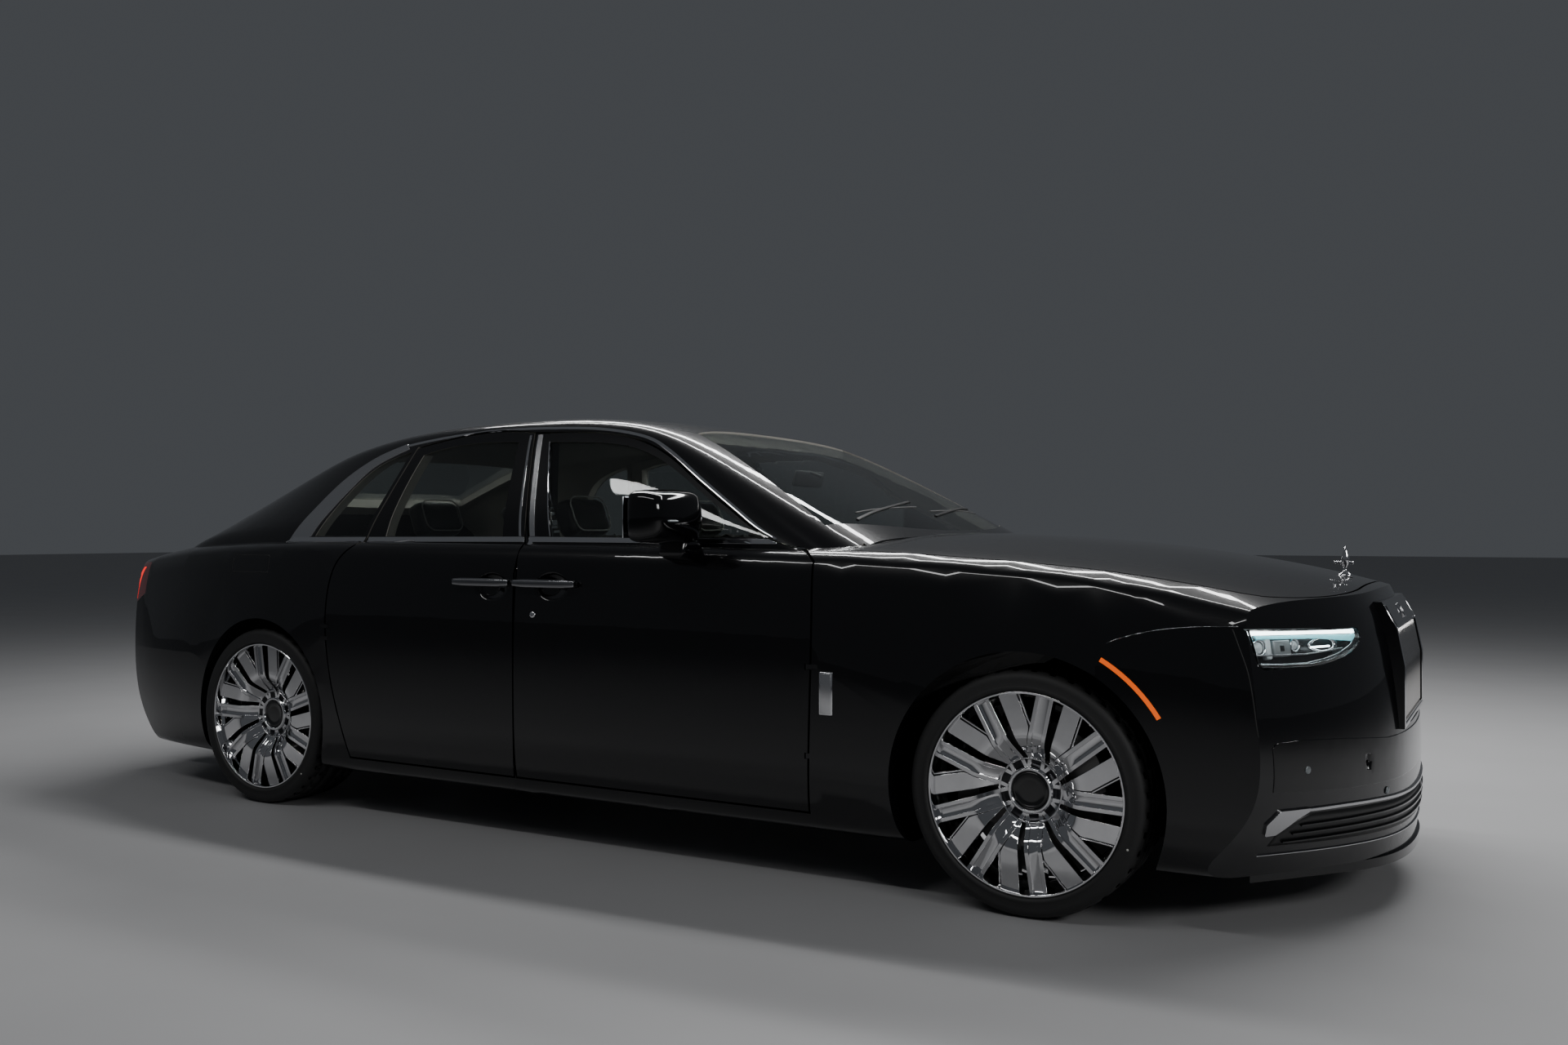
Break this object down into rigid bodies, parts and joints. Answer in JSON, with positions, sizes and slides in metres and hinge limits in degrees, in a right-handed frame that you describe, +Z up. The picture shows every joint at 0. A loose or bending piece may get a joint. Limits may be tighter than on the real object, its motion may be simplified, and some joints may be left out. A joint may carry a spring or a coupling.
{
  "type": "sedan car",
  "caption": "Long four-door saloon with centre-opening doors, upright grille, large spoked wheels, opening hood and boot lid, and a furnished cabin.",
  "frame": {"origin": "on the ground under the middle of the car's box", "axes": "+X forward, +Y to the car's left, +Z up"},
  "size_m": [5.5778, 2.405, 1.5705],
  "materials": {
    "black_paint": "gloss",
    "tinted_glass": "gloss",
    "bright_chrome": "polished",
    "wheel_chrome": "polished",
    "tyre_rubber": "matte",
    "clear_lens": "gloss",
    "red_lens": "gloss",
    "amber_lens": "gloss",
    "cast_metal": "matte",
    "engine_metal": "satin",
    "gloss_black": "gloss",
    "dark_leather": "satin",
    "seat_leather": "satin"
  },
  "bodies": {
    "body": {"body_shell": "black_paint", "front_bumper": "black_paint", "rear_bumper": "black_paint", "grille": "bright_chrome", "headlamps": "clear_lens", "tail_lamps": "red_lens", "fixed_glass": "tinted_glass", "chassis": "cast_metal", "engine_block": "engine_metal", "front_lip": "gloss_black", "exhaust_tips": "bright_chrome", "dashboard": "dark_leather", "front_seat_left": "seat_leather", "front_seat_right": "seat_leather", "rear_bench": "seat_leather", "marker_lamps": "amber_lens"},
    "door_front_left_body": {"door_front_left": "black_paint", "door_glass_front_left": "tinted_glass", "handle_front_left": "bright_chrome", "mirror_left": "black_paint"},
    "door_rear_left_body": {"door_rear_left": "black_paint", "door_glass_rear_left": "tinted_glass", "handle_rear_left": "bright_chrome"},
    "door_front_right_body": {"door_front_right": "black_paint", "door_glass_front_right": "tinted_glass", "handle_front_right": "bright_chrome", "mirror_right": "black_paint"},
    "door_rear_right_body": {"door_rear_right": "black_paint", "door_glass_rear_right": "tinted_glass", "handle_rear_right": "bright_chrome"},
    "hood_body": {"hood": "black_paint", "hood_ornament": "bright_chrome"},
    "boot_lid_body": {"boot_lid": "black_paint"},
    "knuckle_left_body": {"knuckle_front_left": "cast_metal"},
    "wheel_front_left_body": {"wheel_front_left": "wheel_chrome", "tyre_front_left": "tyre_rubber"},
    "wheel_rear_left_body": {"wheel_rear_left": "wheel_chrome", "tyre_rear_left": "tyre_rubber"},
    "knuckle_right_body": {"knuckle_front_right": "cast_metal"},
    "wheel_front_right_body": {"wheel_front_right": "wheel_chrome", "tyre_front_right": "tyre_rubber"},
    "wheel_rear_right_body": {"wheel_rear_right": "wheel_chrome", "tyre_rear_right": "tyre_rubber"},
    "steering_wheel_body": {"steering_wheel": "dark_leather"}
  },
  "joints": [
    {"name": "door_front_left_hinge", "type": "hinge", "parent": "body", "child": "door_front_left_body", "pos_m": [1.12159, 0.988, 0.7], "axis": [0, 0, -1], "range_deg": [0, 65]},
    {"name": "door_rear_left_hinge", "type": "hinge", "parent": "body", "child": "door_rear_left_body", "pos_m": [-1.04486, 0.988, 0.7], "axis": [0, 0, 1], "range_deg": [0, 80]},
    {"name": "door_front_right_hinge", "type": "hinge", "parent": "body", "child": "door_front_right_body", "pos_m": [1.12159, -0.988, 0.7], "axis": [0, 0, 1], "range_deg": [0, 65]},
    {"name": "door_rear_right_hinge", "type": "hinge", "parent": "body", "child": "door_rear_right_body", "pos_m": [-1.04486, -0.988, 0.7], "axis": [0, 0, -1], "range_deg": [0, 80]},
    {"name": "hood_hinge", "type": "hinge", "parent": "body", "child": "hood_body", "pos_m": [1.215, 0, 1.068], "axis": [0, -1, 0], "range_deg": [0, 50]},
    {"name": "boot_lid_hinge", "type": "hinge", "parent": "body", "child": "boot_lid_body", "pos_m": [-1.93458, 0, 1.244], "axis": [0, 1, 0], "range_deg": [0, 70]},
    {"name": "steer_left", "type": "hinge", "parent": "body", "child": "knuckle_left_body", "pos_m": [1.82, 0.757, 0.362], "axis": [0, 0, 1], "range_deg": [-33, 33]},
    {"name": "wheel_front_left_spin", "type": "hinge", "parent": "knuckle_left_body", "child": "wheel_front_left_body", "pos_m": [1.82, 0.828, 0.362], "axis": [0, 1, 0], "continuous": true},
    {"name": "wheel_rear_left_spin", "type": "hinge", "parent": "body", "child": "wheel_rear_left_body", "pos_m": [-1.475, 0.828, 0.362], "axis": [0, 1, 0], "continuous": true},
    {"name": "steer_right", "type": "hinge", "parent": "body", "child": "knuckle_right_body", "pos_m": [1.82, -0.757, 0.362], "axis": [0, 0, 1], "range_deg": [-33, 33]},
    {"name": "wheel_front_right_spin", "type": "hinge", "parent": "knuckle_right_body", "child": "wheel_front_right_body", "pos_m": [1.82, -0.828, 0.362], "axis": [0, 1, 0], "continuous": true},
    {"name": "wheel_rear_right_spin", "type": "hinge", "parent": "body", "child": "wheel_rear_right_body", "pos_m": [-1.475, -0.828, 0.362], "axis": [0, 1, 0], "continuous": true},
    {"name": "steering_wheel_turn", "type": "hinge", "parent": "body", "child": "steering_wheel_body", "pos_m": [0.7, 0.43, 0.9], "axis": [-0.9135, 0, 0.4067], "range_deg": [-396, 396]}
  ],
  "couplings": [
    {"joint": "steer_right", "follows": "steer_left", "ratio": 1},
    {"joint": "steering_wheel_turn", "follows": "steer_left", "ratio": 12}
  ]
}
